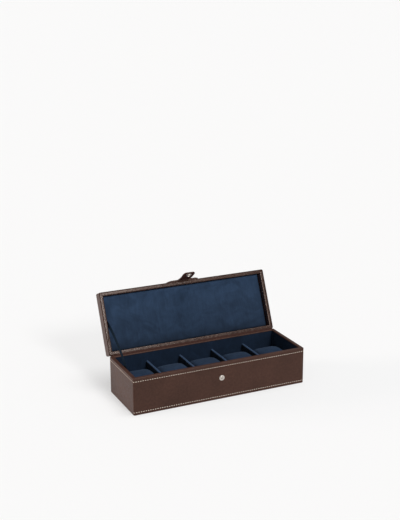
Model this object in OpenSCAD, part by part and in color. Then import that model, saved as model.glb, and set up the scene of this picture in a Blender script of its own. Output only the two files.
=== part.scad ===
// Leather display box for watches: a lined tray with dividers and a lift-out
// cushion in each compartment, a hinged lid held open by a ribbon stay, and a
// closing tab with a press stud.
// Millimetres. +X runs along the front, +Y to the hinge, +Z up. The origin is
// the middle of the underside. The lid is drawn open, as it rests.

/* [Case] */
// Length of the case along its front
case_w = 340; // [260:1:420]
// Depth of the case from front to hinge
case_d = 117.5; // [105:0.5:150]
// Height of the tray, from the surface it stands on to its rim
body_h = 69; // [66:0.5:90]
// Thickness of the closed lid
lid_h = 19.5; // [18:0.5:30]
// Angle at which the ribbon stay holds the lid open
lid_angle = 113.3; // [105:0.1:118]
// Gap between the closed lid and the tray
rim_gap = 0.4; // [0.2:0.1:1]
// Radius of the upright outer corners
corner_r = 3; // [2:0.1:3.2]

/* [Boards] */
// Thickness of the wall boards
board_t = 4.8; // [4:0.1:7]
// Thickness of the bottom board
base_t = 4; // [3:0.1:6]
// Thickness of the lid's top board
lid_board_t = 3.8; // [3:0.1:5]

/* [Leather] */
// Thickness of the covering leather
leather_t = 1.2; // [0.9:0.1:1.6]
// Thickness of the sheet under the case
base_cover_t = 1; // [0.6:0.1:1.5]
// How far the tray's rim leather is turned down inside
turn_in = 1.6; // [1.5:0.1:8]
// Radius of the folded leather edges
fold_r = 0.9; // [0.6:0.1:1.1]

/* [Hinge] */
// Thickness of the leather hinge
hinge_t = 1; // [0.7:0.1:1.3]
// Height of each leaf of the hinge
hinge_leaf = 11; // [8:0.5:13]
// Room for the glue on each side of a leaf
hinge_glue = 0.03; // [0.02:0.01:0.1]
// Distance from the hinge's ends to the ends of the case
hinge_inset = 14; // [10:1:40]

/* [Lining] */
// Thickness of the suede lining on its card
lining_t = 0.9; // [0.6:0.1:1.1]
// Thickness of the padded lid lining
pad_t = 3.5; // [2.5:0.1:5]
// Radius of the pad's rolled edge
pad_r = 2; // [1:0.1:2.4]
// Gap around the pad
pad_gap = 0.3; // [0.1:0.1:0.8]

/* [Compartments] */
// Number of compartments
compartments = 5; // [3:1:6]
// Thickness of a divider
divider_t = 4.5; // [3:0.1:7]
// Depth of the dividers' tops below the rim
divider_drop = 17.5; // [12:0.5:30]

/* [Cushions] */
// Gap between a cushion and the divider on each side
cushion_gap = 3.6; // [2.5:0.1:8]
// Gap between a cushion and the front and back linings
cushion_end_gap = 9.8; // [6:0.1:16]
// Height of a cushion
cushion_h = 48.5; // [36:0.5:54]
// Clearance under a cushion
cushion_lift = 0.2; // [0.1:0.1:0.5]
// How far the long sides are drawn in between the corners
side_draw = 1.6; // [0.5:0.1:3]
// How far the end panels are drawn in at their middle
end_draw = 1.8; // [0.5:0.1:3]
// How much higher the crown is than the cushion's shoulders
crown = 2.6; // [1:0.1:4]
// Radius of the rounding from the side to the end panels
shoulder_r = 8; // [4:0.5:12]

/* [Ribbon stay] */
// Width of the ribbon
ribbon_w = 10; // [6:0.5:14]
// Thickness of the ribbon
ribbon_t = 0.5; // [0.3:0.1:0.8]
// Distance of the lid anchor from the hinge
ribbon_lid_at = 62; // [50:0.5:70]
// Distance of the tray anchor from the back of the case
ribbon_tray_at = 69; // [60:0.5:75]
// Depth of the tray anchor below the rim
ribbon_drop = 12; // [8:0.5:20]
// How far the ribbon bows upwards between its anchors
ribbon_bow = 10; // [3:0.5:12]

/* [Closure] */
// Length of the stitched bar that holds the tab
bar_w = 63; // [50:1:100]
// Height of the bar
bar_h = 12; // [8:0.5:14]
// Thickness of the bar
bar_t = 3; // [2.6:0.1:4]
// Height of the bar above the lid's rim
bar_up = 1.5; // [1.2:0.1:3]
// Width of the tab
tab_w = 23.5; // [18:0.5:34]
// Thickness of the tab's outer leather
tab_t = 1; // [0.7:0.1:1.2]
// Thickness of the tab's inner leather
tab_lining_t = 0.7; // [0.5:0.1:1]
// Distance from the stud to the tab's tip
tab_beyond = 7.5; // [7:0.5:14]
// Radius of the corners at the tab's tip
tab_r = 5.5; // [4:0.5:9]
// Gap between the bar and the tab
tab_gap = 0.3; // [0.2:0.1:0.6]
// Angle at which the tab stands off the open lid
tab_angle = 10.5; // [8:0.5:25]
// Angle at which the tab stands off the front when it is snapped shut
tab_shut = 5; // [5:0.5:7]

/* [Press stud] */
// Distance of the stud below the tray's rim
stud_drop = 28.5; // [22:0.5:36]
// Diameter of the stud's flange
stud_d = 11.6; // [10:0.1:13]
// Thickness of the stud's flange
stud_flange_t = 0.8; // [0.5:0.1:1]
// Height of the stud's nub above its flange
nub_h = 2; // [1.5:0.1:2.2]
// Diameter of the nub's bulb
nub_d = 5.4; // [4:0.1:6]
// Diameter of the nub's neck
neck_d = 4.6; // [3.8:0.1:5]
// Diameter of the hollow in the nub
hollow_d = 2.6; // [1.5:0.1:3]
// Depth of the hollow in the nub
hollow_depth = 1; // [0.5:0.1:1.4]
// Outer diameter of the socket
socket_d = 11.4; // [10:0.1:13]
// Height of the socket
socket_h = 2.4; // [1.8:0.1:2.6]
// Radial clearance between the nub and the socket's bore
snap_clear = 0.9; // [0.6:0.1:1.2]
// Thickness of the socket's plate
socket_plate_t = 0.5; // [0.3:0.1:0.8]
// Diameter of the cap on the outside of the tab
cap_d = 12.4; // [11:0.1:14]
// Height of the cap
cap_h = 1.2; // [0.8:0.1:2]
// Diameter of the rivets' shanks
shank_d = 3; // [2:0.1:3.5]
// Radial clearance of a shank in its metal seat
shank_fit = 0.05; // [0.02:0.01:0.1]
// Radial clearance of a shank in the leather and board
shank_clear = 0.15; // [0.1:0.05:0.4]
// Depth of the shank's seat in the stud
shank_seat = 1.3; // [0.8:0.1:1.5]
// Diameter of the rivet's head behind the front board
rivet_head_d = 8.4; // [6:0.1:10]
// Thickness of the rivet's head
rivet_head_t = 0.9; // [0.6:0.1:1.2]

/* [Hidden] */
divider_count = compartments - 1;
$fn = 48;
eps = 1;            // overshoot of a cutting shape
arc_steps = 4;      // straight steps in a quarter of a folded edge
bend_steps = 8;     // straight steps in the hinge's bend
mesh_around = 32;   // points around a cushion's section
mesh_along = 12;    // stations along a cushion
section_power = 2.5; // how square a cushion's section is
flat_share = 0.05;  // share of a cushion's height pressed flat on the floor

leather_brown = [0.30, 0.22, 0.19];
edge_brown = [0.25, 0.17, 0.14];
suede_blue = [0.13, 0.18, 0.25];
lining_blue = [0.18, 0.24, 0.32];
board_tan = [0.55, 0.45, 0.33];
silver = [0.75, 0.75, 0.76];

// Wall layers, counted inwards from the outer face
board_in = leather_t + board_t;      // inner face of a board
lining_in = board_in + lining_t;     // inner face of a lining
rim_w = board_in + leather_t;        // width of a rim

floor_z = base_cover_t + base_t;     // top of the bottom board
lined_z = floor_z + lining_t;        // top of the floor lining
turn_z = body_h - turn_in;           // lower edge of the turned rim leather

room_w = case_w - 2 * lining_in;     // inside the linings
room_d = case_d - 2 * lining_in;
room_h = turn_z - lined_z;
cell_w = (room_w - divider_count * divider_t) / compartments;
cell_pitch = cell_w + divider_t;
divider_top = body_h - divider_drop;

cushion_w = cell_w - 2 * cushion_gap;
cushion_d = room_d - 2 * cushion_end_gap;

lid_z = body_h + rim_gap;            // rim of the closed lid
lid_top = lid_z + lid_h;
lid_under = lid_top - leather_t - lid_board_t; // underside of the lid's top board
pad_face = lid_under - pad_t;        // face of the padded lining

hinge_y = case_d / 2;
hinge_w = case_w - 2 * hinge_inset;

tab_thick = tab_t + tab_lining_t;
tab_hinge_y = -case_d / 2 - bar_t;   // the tab turns about its outer face
tab_hinge_z = lid_z + bar_up - tab_gap;
stud_z = body_h - stud_drop;
tab_reach = (tab_hinge_z - stud_z) / cos(tab_shut);
tab_len = tab_reach + tab_beyond;

rivet_r = shank_d / 2;
hole_r = rivet_r + shank_clear;
seat_r = rivet_r + shank_fit;
bore_r = nub_d / 2 + snap_clear;

// ---- Helpers ----

// Points of an arc about (x, y)
function arc(x, y, r, a0, a1, steps = arc_steps) =
    [for (i = [0:steps]) let (a = a0 + (a1 - a0) * i / steps) [x + r * cos(a), y + r * sin(a)]];

module rounded_rect(w, d, r) {
    square([w - 2 * r, d], center = true);
    square([w, d - 2 * r], center = true);
    for (sx = [-1, 1], sy = [-1, 1])
        translate([sx * (w / 2 - r), sy * (d / 2 - r)]) circle(r);
}

// Extrudes a (depth, height) outline along the front or along the left side
module along_front() {
    translate([-case_w / 2, -case_d / 2, 0])
        rotate([90, 0, 90]) linear_extrude(case_w) children();
}

module along_left() {
    translate([-case_w / 2, case_d / 2, 0])
        rotate([90, 0, 0]) linear_extrude(case_d) children();
}

// Footprint of the front or left wall, mitred at the corners
module front_mitre() {
    m = rim_w + eps;
    w = case_w / 2;
    d = case_d / 2;
    linear_extrude(lid_top + eps)
        polygon([[-w, -d], [w, -d], [w - m, m - d], [m - w, m - d]]);
}

module left_mitre() {
    m = rim_w + eps;
    w = case_w / 2;
    d = case_d / 2;
    linear_extrude(lid_top + eps)
        polygon([[-w, -d], [m - w, m - d], [m - w, d - m], [-w, d]]);
}

module outer_form() {
    linear_extrude(lid_top + eps) rounded_rect(case_w, case_d, corner_r);
}

module front_wall() {
    intersection() {
        along_front() children();
        front_mitre();
        outer_form();
    }
}

module left_wall() {
    intersection() {
        along_left() children();
        left_mitre();
        outer_form();
    }
}

module back_wall() {
    mirror([0, 1, 0]) front_wall() children();
}

module right_wall() {
    mirror([1, 0, 0]) left_wall() children();
}

// A box between two corners
module block(low, high) {
    translate(low) cube(high - low);
}

// Carries what is drawn for the closed lid to the open lid
module on_open_lid() {
    translate([0, hinge_y, body_h]) rotate([-lid_angle, 0, 0])
        translate([0, -hinge_y, -body_h]) children();
}

// Carries what is drawn flat, hanging from its hinge line down to -Z with its
// outer face towards -Y, to the tab's place on the open lid
module on_tab(angle = tab_angle) {
    on_open_lid()
        translate([0, tab_hinge_y, tab_hinge_z]) rotate([-angle, 0, 0]) children();
}

// Axis of a rivet or stud, drawn along +Z, turned to point out of the front
module facing_front(x, y, z) {
    translate([x, y, z]) rotate([90, 0, 0]) children();
}

// ---- Boards of the tray ----

module bottom_board() {
    w = case_w / 2 - board_in;
    d = case_d / 2 - board_in;
    color(board_tan) block([-w, -d, base_cover_t], [w, d, floor_z]);
}

module long_board() {
    w = case_w / 2 - leather_t;
    d = case_d / 2;
    block([-w, leather_t - d, base_cover_t], [w, board_in - d, body_h - leather_t]);
}

module short_board() {
    w = case_w / 2;
    d = case_d / 2 - board_in;
    block([leather_t - w, -d, base_cover_t], [board_in - w, d, body_h - leather_t]);
}

module front_board() {
    color(board_tan) difference() {
        long_board();
        facing_front(0, 0, stud_z) cylinder(r = hole_r, h = case_d);
        facing_front(0, board_in - case_d / 2 + eps, stud_z)
            cylinder(r = rivet_head_d / 2 + shank_clear, h = rivet_head_t + eps);
    }
}

module back_board() {
    color(board_tan) difference() {
        mirror([0, 1, 0]) long_board();
        hinge_slot(body_h - hinge_leaf, body_h + eps);
    }
}

module left_board() {
    color(board_tan) short_board();
}

module right_board() {
    color(board_tan) mirror([1, 0, 0]) short_board();
}

// ---- Leather outside the tray ----

// Outer sheet, folded over the rim and turned down inside
module turned_outline() {
    polygon(concat(
        [[0, 0]],
        arc(fold_r, body_h - fold_r, fold_r, 180, 90),
        arc(rim_w - fold_r, body_h - fold_r, fold_r, 90, 0),
        [[rim_w, turn_z], [board_in, turn_z], [board_in, body_h - leather_t]],
        [[leather_t, body_h - leather_t], [leather_t, 0]]
    ));
}

module base_cover() {
    w = case_w / 2 - leather_t;
    d = case_d / 2 - leather_t;
    color(edge_brown) block([-w, -d, 0], [w, d, base_cover_t]);
}

module front_cover() {
    color(leather_brown) difference() {
        front_wall() turned_outline();
        facing_front(0, 0, stud_z) cylinder(r = hole_r, h = case_d);
    }
}

module left_cover() {
    color(leather_brown) left_wall() turned_outline();
}

module right_cover() {
    color(leather_brown) right_wall() turned_outline();
}

module back_cover() {
    color(leather_brown) back_wall() square([leather_t, body_h]);
}

// Leather over the back board's edge, slotted where the hinge comes through
module back_rim() {
    color(leather_brown) difference() {
        back_wall() polygon(concat(
            [[leather_t, body_h]],
            arc(rim_w - fold_r, body_h - fold_r, fold_r, 90, 0),
            [[rim_w, turn_z], [board_in, turn_z], [board_in, body_h - leather_t]],
            [[leather_t, body_h - leather_t]]
        ));
        hinge_slot(body_h - hinge_leaf, body_h + eps);
    }
}

// ---- Linings and dividers ----

module floor_lining() {
    w = case_w / 2 - board_in;
    d = case_d / 2 - board_in;
    color(lining_blue) block([-w, -d, floor_z], [w, d, lined_z]);
}

module long_lining() {
    w = case_w / 2 - board_in;
    d = case_d / 2;
    block([-w, board_in - d, lined_z], [w, lining_in - d, turn_z]);
}

module short_lining() {
    w = case_w / 2;
    d = case_d / 2 - lining_in;
    block([board_in - w, -d, lined_z], [lining_in - w, d, turn_z]);
}

module front_lining() {
    color(lining_blue) long_lining();
}

module back_lining() {
    color(lining_blue) mirror([0, 1, 0]) long_lining();
}

module left_lining() {
    color(lining_blue) short_lining();
}

module right_lining() {
    color(lining_blue) mirror([1, 0, 0]) short_lining();
}

// Suede-covered board with a rounded top
module divider(i) {
    r = divider_t / 2;
    color(suede_blue)
        translate([-room_w / 2 + i * cell_pitch - r, room_d / 2, 0])
            rotate([90, 0, 0]) linear_extrude(room_d) {
                translate([-r, lined_z]) square([divider_t, divider_top - r - lined_z]);
                translate([0, divider_top - r]) circle(r);
            }
}

// ---- Cushions ----

// Size of the section at station u, from -1 to 1 along the cushion: drawn in
// between the ends along its sides and crowned along its top
function shoulder(u) =
    let (past = max(0, abs(u) * cushion_w / 2 - (cushion_w / 2 - shoulder_r)) / shoulder_r)
    shoulder_r * (1 - sqrt(max(0, 1 - past * past * 0.96)));
function half_depth(u) = cushion_d / 2 - side_draw * (1 - u * u) - shoulder(u);
function half_height(u) = cushion_h / 2 - crown / 2 * u * u - shoulder(u);

// One ring of the section, x along the cushion, shrunk for the end panels
function ring(x, hy, hz) =
    let (e = 2 / section_power)
    [for (i = [0:mesh_around - 1])
        let (a = 360 * i / mesh_around,
             y = hy * sign(cos(a)) * pow(abs(cos(a)), e),
             z = hz * sign(sin(a)) * pow(abs(sin(a)), e))
        [x, y, max(z, -(0.5 - flat_share) * cushion_h)]];

// Stations crowd towards the ends, where the shoulders turn
function station(i) = sin(90 * (2 * i / mesh_along - 1));

panel_steps = [0.72, 0.4]; // sizes of the rings across an end panel
function panel_x(s, k) = s * (cushion_w / 2 - end_draw * (1 - k * k));

cushion_rings = concat(
    [for (k = [panel_steps[1], panel_steps[0]])
        ring(panel_x(-1, k), half_depth(-1) * k, half_height(-1) * k)],
    [for (i = [0:mesh_along]) let (u = station(i)) ring(u * cushion_w / 2, half_depth(u), half_height(u))],
    [for (k = panel_steps)
        ring(panel_x(1, k), half_depth(1) * k, half_height(1) * k)]
);

module cushion(i) {
    rows = len(cushion_rings);
    n = mesh_around;
    points = concat(
        [for (r = cushion_rings, p = r) p],
        [[panel_x(-1, 0), 0, 0], [panel_x(1, 0), 0, 0]]
    );
    first = rows * n;
    faces = concat(
        [for (r = [0:rows - 2], j = [0:n - 1])
            [r * n + j, r * n + (j + 1) % n, (r + 1) * n + (j + 1) % n]],
        [for (r = [0:rows - 2], j = [0:n - 1])
            [r * n + j, (r + 1) * n + (j + 1) % n, (r + 1) * n + j]],
        [for (j = [0:n - 1]) [first, (j + 1) % n, j]],
        [for (j = [0:n - 1]) [first + 1, (rows - 1) * n + j, (rows - 1) * n + (j + 1) % n]]
    );
    x = -room_w / 2 + (i - 0.5) * cell_w + (i - 1) * divider_t;
    z = lined_z + cushion_lift + (0.5 - flat_share) * cushion_h;
    color(suede_blue) translate([x, 0, z]) polyhedron(points, faces);
}

// ---- Hinge and ribbon stay ----

// Recess for one leaf of the hinge, just inside the back cover
module hinge_slot(z0, z1) {
    block([-hinge_w / 2, hinge_y - leather_t - hinge_t - 2 * hinge_glue, z0],
          [hinge_w / 2, hinge_y - leather_t, z1]);
}

// Two leaves and the bend between them, about the line where the covers meet
module hinge_leather() {
    r0 = leather_t + hinge_glue;
    r1 = r0 + hinge_t;
    leaf = hinge_leaf - hinge_glue;
    along = [sin(lid_angle), cos(lid_angle)];     // up the open lid's back wall
    inward = [-cos(lid_angle), sin(lid_angle)];   // into that wall
    tip = (rim_gap + leaf) * along;
    color(edge_brown)
        translate([hinge_glue - hinge_w / 2, hinge_y, body_h]) rotate([90, 0, 90])
            linear_extrude(hinge_w - 2 * hinge_glue) polygon(concat(
                [[-r1, -leaf]],
                arc(0, 0, r1, 180, 180 - lid_angle, bend_steps),
                [tip + r1 * inward, tip + r0 * inward],
                arc(0, 0, r0, 180 - lid_angle, 180, bend_steps),
                [[-r0, -leaf]]
            ));
}

// The ribbon's middle line in (y, z): from the lid anchor to the tray anchor
ribbon_lid = [hinge_y - ribbon_lid_at * cos(lid_angle) + (rim_gap + rim_w - leather_t) * sin(lid_angle),
              body_h + ribbon_lid_at * sin(lid_angle) + (rim_gap + rim_w - leather_t) * cos(lid_angle)];
ribbon_tray = [hinge_y - ribbon_tray_at, body_h - ribbon_drop];
ribbon_span = norm(ribbon_lid - ribbon_tray);
ribbon_tilt = atan2(ribbon_lid[1] - ribbon_tray[1], ribbon_lid[0] - ribbon_tray[0]);
ribbon_r = ribbon_span * ribbon_span / (8 * ribbon_bow) + ribbon_bow / 2;

// A flat band that bows up a little, against the inner side of the left walls
module ribbon_stay() {
    half = asin(ribbon_span / 2 / ribbon_r);
    color(suede_blue)
        translate([-case_w / 2 + rim_w, ribbon_tray[0], ribbon_tray[1]])
            rotate([90, 0, 90]) linear_extrude(ribbon_t)
                rotate(ribbon_tilt) translate([ribbon_span / 2, ribbon_bow - ribbon_r])
                    intersection() {
                        difference() {
                            circle(ribbon_r + ribbon_w / 2, $fn = 180);
                            circle(ribbon_r - ribbon_w / 2, $fn = 180);
                        }
                        polygon([[0, 0], 2 * ribbon_r * [-sin(half), cos(half)],
                                 2 * ribbon_r * [sin(half), cos(half)]]);
                    }
}

// ---- Press stud on the tray ----

module snap_stud() {
    bulb = (nub_d - neck_d) / 2;
    color(silver) facing_front(0, -case_d / 2, stud_z) difference() {
        rotate_extrude() polygon(concat(
            [[0, 0], [stud_d / 2 - 0.3, 0]],
            arc(stud_d / 2 - stud_flange_t / 2, stud_flange_t / 2, stud_flange_t / 2, -90, 90),
            [[neck_d / 2, stud_flange_t], [neck_d / 2, stud_flange_t + nub_h - 3 * bulb]],
            arc(neck_d / 2, stud_flange_t + nub_h - 1.5 * bulb, bulb, -60, 60),
            [[neck_d / 2 - bulb / 2, stud_flange_t + nub_h], [0, stud_flange_t + nub_h]]
        ));
        translate([0, 0, stud_flange_t + nub_h - hollow_depth])
            cylinder(d = hollow_d, h = nub_h);
        translate([0, 0, -eps]) cylinder(r = seat_r, h = shank_seat + eps);
    }
}

module stud_rivet() {
    head_y = board_in - case_d / 2;
    color(silver) facing_front(0, head_y, stud_z) {
        cylinder(d = rivet_head_d, h = rivet_head_t);
        cylinder(r = rivet_r, h = board_in + shank_seat);
    }
}

// ---- Lid ----

module lid_top_board() {
    w = case_w / 2 - leather_t;
    d = case_d / 2 - leather_t;
    color(board_tan) on_open_lid()
        block([-w, -d, lid_under], [w, d, lid_top - leather_t]);
}

module lid_long_board() {
    w = case_w / 2 - leather_t;
    d = case_d / 2;
    block([-w, leather_t - d, lid_z + leather_t], [w, board_in - d, lid_under]);
}

module lid_short_board() {
    w = case_w / 2;
    d = case_d / 2 - board_in;
    block([leather_t - w, -d, lid_z + leather_t], [board_in - w, d, lid_under]);
}

module lid_front_board() {
    color(board_tan) on_open_lid() lid_long_board();
}

module lid_back_board() {
    color(board_tan) on_open_lid() difference() {
        mirror([0, 1, 0]) lid_long_board();
        hinge_slot(body_h - eps, lid_z + hinge_leaf);
    }
}

module lid_left_board() {
    color(board_tan) on_open_lid() lid_short_board();
}

module lid_right_board() {
    color(board_tan) on_open_lid() mirror([1, 0, 0]) lid_short_board();
}

// The top leather, rounded along its four edges
module lid_top_cover() {
    color(leather_brown) on_open_lid() intersection() {
        along_front() lid_top_outline(case_d);
        along_left() lid_top_outline(case_w);
        outer_form();
    }
}

module lid_top_outline(reach) {
    r = leather_t;
    polygon(concat(
        arc(r, lid_top - r, r, 180, 90),
        arc(reach - r, lid_top - r, r, 90, 0)
    ));
}

module lid_side_outline() {
    translate([0, lid_z]) square([leather_t, lid_h - leather_t]);
}

module lid_front_cover() {
    color(leather_brown) on_open_lid() front_wall() lid_side_outline();
}

module lid_back_cover() {
    color(leather_brown) on_open_lid() back_wall() lid_side_outline();
}

module lid_left_cover() {
    color(leather_brown) on_open_lid() left_wall() lid_side_outline();
}

module lid_right_cover() {
    color(leather_brown) on_open_lid() right_wall() lid_side_outline();
}

// Rim leather: across the board's edge and up inside to the padded lining
module lid_rim_outline() {
    polygon(concat(
        [[leather_t, lid_z]],
        arc(rim_w - fold_r, lid_z + fold_r, fold_r, -90, 0),
        [[rim_w, lid_under], [board_in, lid_under], [board_in, lid_z + leather_t]],
        [[leather_t, lid_z + leather_t]]
    ));
}

module lid_front_rim() {
    color(leather_brown) on_open_lid() front_wall() lid_rim_outline();
}

module lid_back_rim() {
    color(leather_brown) on_open_lid() difference() {
        back_wall() lid_rim_outline();
        hinge_slot(body_h - eps, lid_z + hinge_leaf);
    }
}

module lid_left_rim() {
    color(leather_brown) on_open_lid() left_wall() lid_rim_outline();
}

module lid_right_rim() {
    color(leather_brown) on_open_lid() right_wall() lid_rim_outline();
}

// Padded panel inside the lid, rolled along its four edges
module pad_outline(reach) {
    side = rim_w + pad_gap;
    polygon(concat(
        [[side, lid_under]],
        arc(side + pad_r, pad_face + pad_r, pad_r, 180, 270),
        arc(reach - side - pad_r, pad_face + pad_r, pad_r, 270, 360),
        [[reach - side, lid_under]]
    ));
}

module lid_lining() {
    color(lining_blue) on_open_lid() intersection() {
        along_front() pad_outline(case_d);
        along_left() pad_outline(case_w);
    }
}

// ---- Closing tab ----

module closure_bar() {
    r = bar_h / 4;
    color(leather_brown) on_open_lid()
        translate([0, -case_d / 2, lid_z + bar_up + bar_h / 2])
            rotate([90, 0, 0]) linear_extrude(bar_t) rounded_rect(bar_w, bar_h, r);
}

// The tab's outline, from its hinge down to its rounded tip
module tab_outline() {
    translate([-tab_w / 2, tab_r - tab_len]) square([tab_w, tab_len - tab_r]);
    translate([tab_r - tab_w / 2, -tab_len]) square([tab_w - 2 * tab_r, tab_r]);
    for (s = [-1, 1])
        translate([s * (tab_w / 2 - tab_r), tab_r - tab_len]) circle(tab_r);
}

// A layer of the tab between two depths behind its outer face
module tab_layer(y0, y1) {
    on_tab() difference() {
        translate([0, y1, 0]) rotate([90, 0, 0]) linear_extrude(y1 - y0) tab_outline();
        facing_front(0, tab_thick + eps, -tab_reach) cylinder(r = hole_r, h = tab_thick + 2 * eps);
    }
}

module tab_leather() {
    color(leather_brown) tab_layer(0, tab_t);
}

module tab_lining() {
    color(edge_brown) tab_layer(tab_t, tab_thick);
}

// Domed cap on the tab's outer face, with the shank that holds the socket
module snap_cap() {
    color(silver) on_tab() facing_front(0, 0, -tab_reach) {
        rotate_extrude() intersection() {
            square([cap_d / 2, cap_h]);
            translate([0, cap_h - cap_d]) circle(cap_d, $fn = 180);
        }
        translate([0, 0, -tab_thick - socket_plate_t]) cylinder(r = rivet_r, h = tab_thick + socket_plate_t);
    }
}

// Ring on the tab's inner face that closes over the stud's nub
module snap_socket() {
    lip = 0.4;
    color(silver) on_tab() facing_front(0, tab_thick, -tab_reach) rotate([180, 0, 0])
        rotate_extrude() difference() {
            polygon(concat(
                [[seat_r, 0], [socket_d / 2, 0], [socket_d / 2, socket_plate_t]],
                arc(socket_d / 2 - 2 * lip, socket_h - 2 * lip, 2 * lip, 0, 90),
                [[bore_r, socket_h], [seat_r, socket_h]]
            ));
            translate([0, socket_plate_t]) square([bore_r, socket_h]);
        }
}

bottom_board();
front_board();
back_board();
left_board();
right_board();
base_cover();
front_cover();
back_cover();
left_cover();
right_cover();
back_rim();
floor_lining();
front_lining();
back_lining();
left_lining();
right_lining();
for (i = [1:divider_count])
    divider(i);
snap_stud();
stud_rivet();
hinge_leather();
ribbon_stay();
lid_top_board();
lid_front_board();
lid_back_board();
lid_left_board();
lid_right_board();
lid_top_cover();
lid_front_cover();
lid_back_cover();
lid_left_cover();
lid_right_cover();
lid_front_rim();
lid_back_rim();
lid_left_rim();
lid_right_rim();
lid_lining();
closure_bar();
tab_leather();
tab_lining();
snap_cap();
snap_socket();
for (i = [1:compartments])
    cushion(i);
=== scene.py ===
"""Watch display box: leather, suede, stitching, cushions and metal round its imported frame.

Lengths are in metres. The lid's pieces are shaped as on the closed box, then turned open
about the hinge line. The tab's pieces are shaped hanging straight down from its root.
"""

import math
import random

import bmesh
import bpy
from bpy.props import FloatProperty, FloatVectorProperty, IntProperty, PointerProperty
from mathutils import Matrix, Quaternion, Vector, noise


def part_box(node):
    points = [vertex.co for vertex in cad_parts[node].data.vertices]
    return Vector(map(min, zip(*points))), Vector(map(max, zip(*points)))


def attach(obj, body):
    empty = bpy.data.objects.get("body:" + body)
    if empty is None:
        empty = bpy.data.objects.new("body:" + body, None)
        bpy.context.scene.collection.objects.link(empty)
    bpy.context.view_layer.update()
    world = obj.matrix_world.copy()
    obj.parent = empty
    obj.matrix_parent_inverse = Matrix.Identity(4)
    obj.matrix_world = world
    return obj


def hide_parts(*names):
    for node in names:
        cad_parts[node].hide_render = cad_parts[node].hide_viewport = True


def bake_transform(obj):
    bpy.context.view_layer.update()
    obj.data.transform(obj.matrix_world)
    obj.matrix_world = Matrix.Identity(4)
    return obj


bl_info = {
    "name": "Watch Display Box",
    "version": (1, 0, 0),
    "blender": (4, 5, 0),
    "location": "3D View > Sidebar > Display Box",
    "description": "Builds the leather, suede, stitching, cushions and metal of a display box",
    "category": "Add Mesh",
}

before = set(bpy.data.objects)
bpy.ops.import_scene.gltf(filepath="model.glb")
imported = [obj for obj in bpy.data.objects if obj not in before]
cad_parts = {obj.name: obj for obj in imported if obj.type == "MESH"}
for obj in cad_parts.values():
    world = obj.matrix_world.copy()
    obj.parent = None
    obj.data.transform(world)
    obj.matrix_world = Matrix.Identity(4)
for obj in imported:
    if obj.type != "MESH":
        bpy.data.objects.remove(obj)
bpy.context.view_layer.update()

BACK_LOW, BACK_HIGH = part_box("back_cover")
LEFT_LOW, LEFT_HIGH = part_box("left_cover")
HALF_W = -LEFT_LOW.x
HALF_D = BACK_HIGH.y
BODY_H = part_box("front_cover")[1].z
LEATHER = BACK_HIGH.y - BACK_LOW.y  # how thick the covering leather is
RIM = LEFT_HIGH.x - LEFT_LOW.x  # from the outer face to the lining
TURN_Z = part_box("front_lining")[1].z  # where the turned-down leather ends
HINGE = Vector((0, HALF_D, BODY_H))

X, Y, Z = Vector((1, 0, 0)), Vector((0, 1, 0)), Vector((0, 0, 1))
VERT, EDGE, FACE = bmesh.types.BMVert, bmesh.types.BMEdge, bmesh.types.BMFace
BESIDE_CORNER = 0.0012  # from the end of a corner's rounding to the cut beside it
BESIDE_JOINT = 0.012  # from an outer face to the cut beside a rim's joint
EASE = 0.0008  # flat strip beside a fold


# ---- Sizes and colours ----


def length(name, description, default, low=0.0):
    return FloatProperty(
        name=name, description=description, default=default, min=low, max=1.0, unit="LENGTH"
    )


def degrees(name, description, default):
    default = math.radians(default)
    return FloatProperty(name=name, description=description, default=default, subtype="ANGLE")


def colour(name, description, default):
    return FloatVectorProperty(
        name=name, description=description, default=default, size=3, min=0, max=1, subtype="COLOR"
    )


class CaseSizes(bpy.types.PropertyGroup):
    corner: length("Corner radius", "Radius of the upright corners", 0.003)
    fold: length("Fold radius", "Radius of the leather's folds at a rim", 0.0014)
    rim_gap: length("Rim gap", "Gap between the rims of the closed box", 0.0004)
    lid_height: length("Lid height", "Height of the lid from its rim to its top", 0.0195)
    lid_board: length("Lid board", "Thickness of the lid's top board", 0.0038)
    lid_angle: degrees("Lid angle", "How far the lid stands open", 113.3)
    pad: length("Lid pad", "Thickness of the padded panel in the lid", 0.0035)
    groove: length("Groove depth", "Depth of the pressed line that a seam lies in", 0.00028)
    mitre: length("Mitre depth", "Depth of the joint across each corner of a rim", 0.0003)


class SeamSizes(bpy.types.PropertyGroup):
    pitch: length("Pitch", "From one stitch to the next", 0.00444)
    stitch: length("Stitch length", "Length of one stitch", 0.0028)
    thread: length("Thread", "Thickness of the thread", 0.0011)
    below_rim: length("Below rim", "Height of the rim above the upper seam", 0.0065)
    above_base: length("Above base", "Height of the front's lower seam", 0.0051)
    slant: degrees("Slant", "How far a stitch leans out of its row", 9)
    seed: IntProperty(name="Seed", description="Start of the uneven stitches", default=5)


class TabSizes(bpy.types.PropertyGroup):
    width: length("Tab width", "Width of the closing tab", 0.0235)
    thickness: length("Tab thickness", "Leather and lining together", 0.0017)
    angle: degrees("Tab angle", "How far the tab stands off the open lid's front", 10.5)
    root_y: length("Root depth", "The tab's outer face on the closed box", -0.06175, -1)
    root_z: length("Root height", "The tab's root on the closed box", 0.0706)
    reach: length("Reach", "From the root to the press stud", 0.030214)
    beyond: length("Beyond the stud", "From the press stud to the tab's tip", 0.0075)
    tip: length("Tip radius", "Radius of the tip's corners", 0.0055)
    bar_width: length("Bar width", "Length of the bar that holds the tab", 0.063)
    bar_thickness: length("Bar thickness", "Thickness of the bar", 0.003)
    bar_low: length("Bar height", "Lower edge of the bar on the closed box", 0.0709)
    bar_high: length("Bar top", "Upper edge of the bar on the closed box", 0.0829)


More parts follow.
